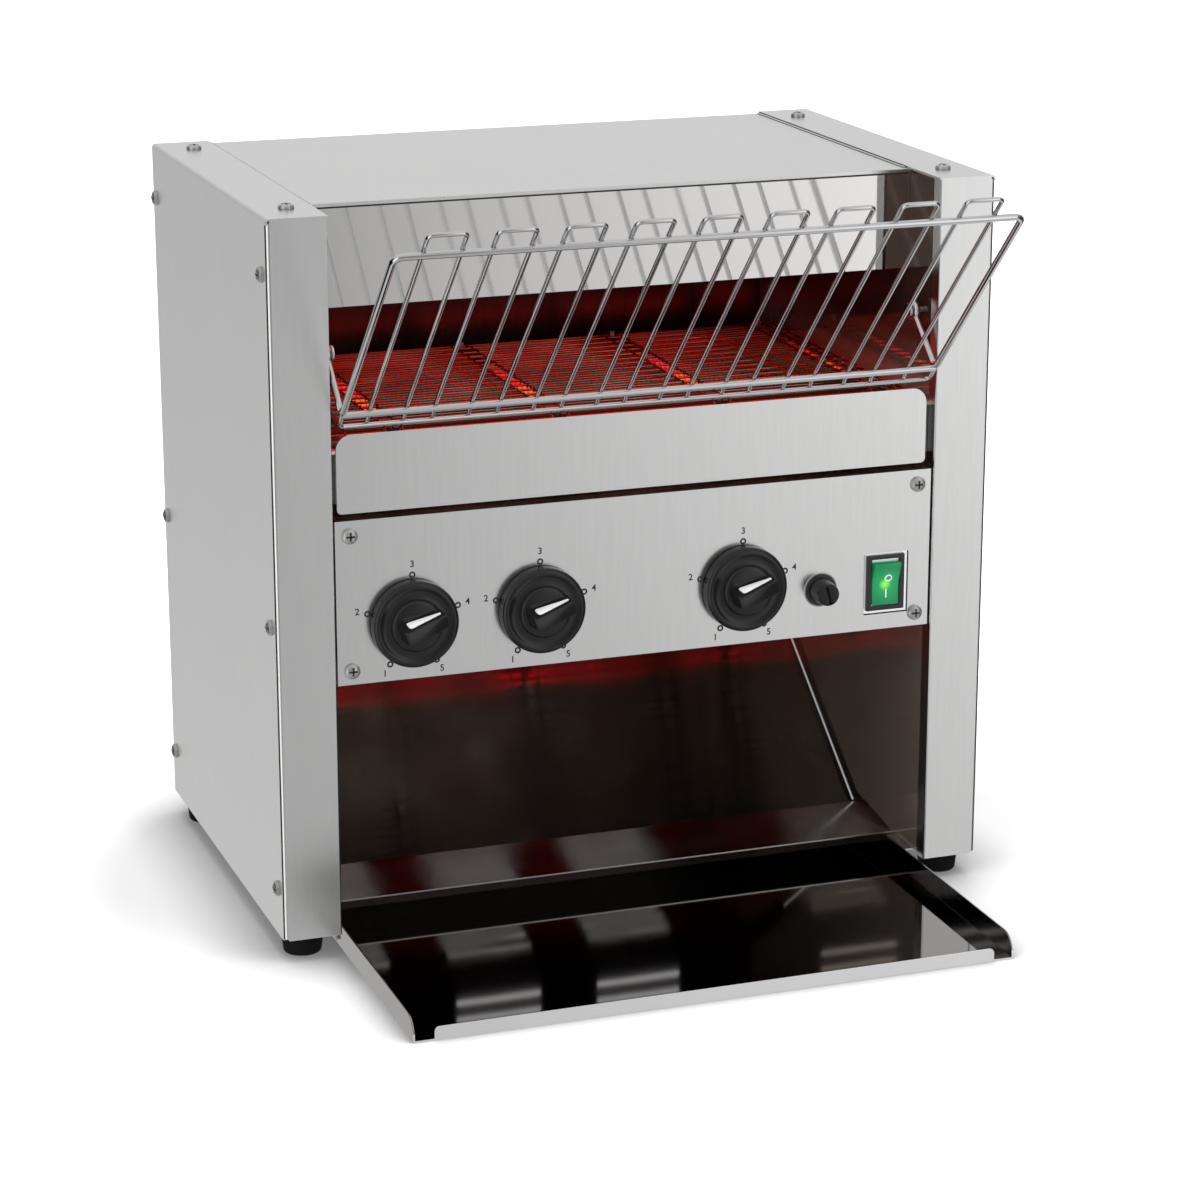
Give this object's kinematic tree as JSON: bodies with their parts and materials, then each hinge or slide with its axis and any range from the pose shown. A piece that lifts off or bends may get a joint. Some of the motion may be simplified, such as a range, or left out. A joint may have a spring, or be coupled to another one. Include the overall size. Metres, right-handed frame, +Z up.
{
  "type": "conveyor toaster",
  "caption": "Countertop conveyor toaster with a folding wire feed rack, a driven wire belt between quartz elements, a mirror chute and a pull-out delivery tray.",
  "frame": {"origin": "on the table, at the middle of the whole footprint, delivery tray included", "axes": "+X to the user's right when facing the controls, +Y from the controls to the back panel, +Z up"},
  "size_m": [0.4366, 0.419, 0.4382],
  "materials": {
    "brushed_steel": "fine vertical brushing, satin",
    "panel_steel": "fine brushing, satin",
    "mirror_steel": "polished to a mirror",
    "plain_steel": "mill finish",
    "chrome_wire": "bright plated",
    "belt_steel": "heat tinted, satin",
    "shaft_steel": "ground",
    "sprocket_steel": "blackened",
    "chain_steel": "oiled",
    "bronze": "sintered, matt",
    "quartz": "glowing quartz",
    "ceramic": "unglazed",
    "blanket": "ceramic fibre blanket",
    "guard_wire": "heat tinted",
    "motor_paint": "satin",
    "regulator_body": "moulded",
    "controller_board": "lacquered board",
    "knob_black": "moulded, satin",
    "pointer_white": "moulded",
    "fuse_black": "moulded",
    "fuse_cap_black": "moulded, ribless",
    "switch_black": "moulded",
    "rocker_green": "clear tinted, lit from within",
    "terminal_plastic": "moulded",
    "gland_black": "moulded",
    "foot_rubber": "matt",
    "zinc_screws": "zinc plated"
  },
  "bodies": {
    "cabinet": {"left_side_panel": "brushed_steel", "right_side_panel": "brushed_steel", "left_inner_wall": "mirror_steel", "right_inner_wall": "mirror_steel", "left_front_post": "plain_steel", "right_front_post": "plain_steel", "top_panel": "brushed_steel", "front_apron": "mirror_steel", "back_panel": "panel_steel", "control_panel": "panel_steel", "guard_plate": "panel_steel", "control_box": "plain_steel", "chute": "mirror_steel", "tray_runners": "plain_steel", "rack_pivot_studs": "chrome_wire", "shaft_bushes": "bronze", "wire_belt": "belt_steel", "belt_rails": "plain_steel", "gear_motor": "motor_paint", "drive_chain": "chain_steel", "upper_elements": "quartz", "lower_elements": "quartz", "element_end_caps": "ceramic", "upper_reflector": "mirror_steel", "lower_reflector": "mirror_steel", "element_guard": "guard_wire", "top_insulation": "blanket", "bottom_regulator": "regulator_body", "top_regulator": "regulator_body", "speed_controller": "controller_board", "fuse_holder": "fuse_black", "switch_body": "switch_black", "terminal_block": "terminal_plastic", "cable_gland": "gland_black", "feet": "foot_rubber", "left_side_screws": "zinc_screws", "right_side_screws": "zinc_screws", "top_screws": "zinc_screws", "panel_screws": "zinc_screws", "back_screws": "zinc_screws"},
    "front_roller": {"front_shaft": "shaft_steel", "front_sprockets": "sprocket_steel", "drive_sprocket": "sprocket_steel"},
    "rear_roller": {"rear_shaft": "shaft_steel", "rear_sprockets": "sprocket_steel"},
    "motor_output": {"motor_sprocket": "sprocket_steel"},
    "bottom_dial": {"bottom_knob": "knob_black", "bottom_pointer": "pointer_white", "bottom_spindle": "shaft_steel"},
    "top_dial": {"top_knob": "knob_black", "top_pointer": "pointer_white", "top_spindle": "shaft_steel"},
    "speed_dial": {"speed_knob": "knob_black", "speed_pointer": "pointer_white", "speed_spindle": "shaft_steel"},
    "fuse_cap": {"fuse_cap": "fuse_cap_black"},
    "rocker": {"switch_rocker": "rocker_green"},
    "tray": {"tray": "mirror_steel"},
    "rack": {"feed_rack": "chrome_wire"}
  },
  "joints": [
    {"name": "front_roller_spin", "type": "hinge", "parent": "cabinet", "child": "front_roller", "pos_m": [0, -0.0515, 0.287], "axis": [-1, 0, 0], "continuous": true, "deforming": ["wire_belt", "drive_chain"]},
    {"name": "rear_roller_spin", "type": "hinge", "parent": "cabinet", "child": "rear_roller", "pos_m": [0, 0.1345, 0.287], "axis": [-1, 0, 0], "continuous": true},
    {"name": "motor_spin", "type": "hinge", "parent": "cabinet", "child": "motor_output", "pos_m": [0, -0.0195, 0.21091], "axis": [-1, 0, 0], "continuous": true},
    {"name": "bottom_dial_turn", "type": "hinge", "parent": "cabinet", "child": "bottom_dial", "pos_m": [-0.1363, -0.0788, 0.1955], "axis": [0, -1, 0], "range_deg": [-75, 225]},
    {"name": "top_dial_turn", "type": "hinge", "parent": "cabinet", "child": "top_dial", "pos_m": [-0.061, -0.0788, 0.196], "axis": [0, -1, 0], "range_deg": [-75, 225]},
    {"name": "speed_dial_turn", "type": "hinge", "parent": "cabinet", "child": "speed_dial", "pos_m": [0.0625, -0.0788, 0.1965], "axis": [0, -1, 0], "range_deg": [-75, 225]},
    {"name": "fuse_cap_turn", "type": "hinge", "parent": "cabinet", "child": "fuse_cap", "pos_m": [0.1114, -0.079, 0.19], "axis": [0, -1, 0], "range_deg": [0, 90]},
    {"name": "rocker_tilt", "type": "hinge", "parent": "cabinet", "child": "rocker", "pos_m": [0.152, -0.077, 0.191], "axis": [-1, 0, 0], "range_deg": [0, 16]},
    {"name": "tray_slide", "type": "slide", "parent": "cabinet", "child": "tray", "axis": [0, -1, 0], "range_m": [0, 0.12]},
    {"name": "rack_fold", "type": "hinge", "parent": "cabinet", "child": "rack", "pos_m": [0, -0.0555, 0.347], "axis": [-1, 0, 0], "range_deg": [0, 60]}
  ],
  "couplings": [
    {"joint": "rear_roller_spin", "follows": "front_roller_spin", "ratio": 1},
    {"joint": "motor_spin", "follows": "front_roller_spin", "ratio": 1}
  ]
}
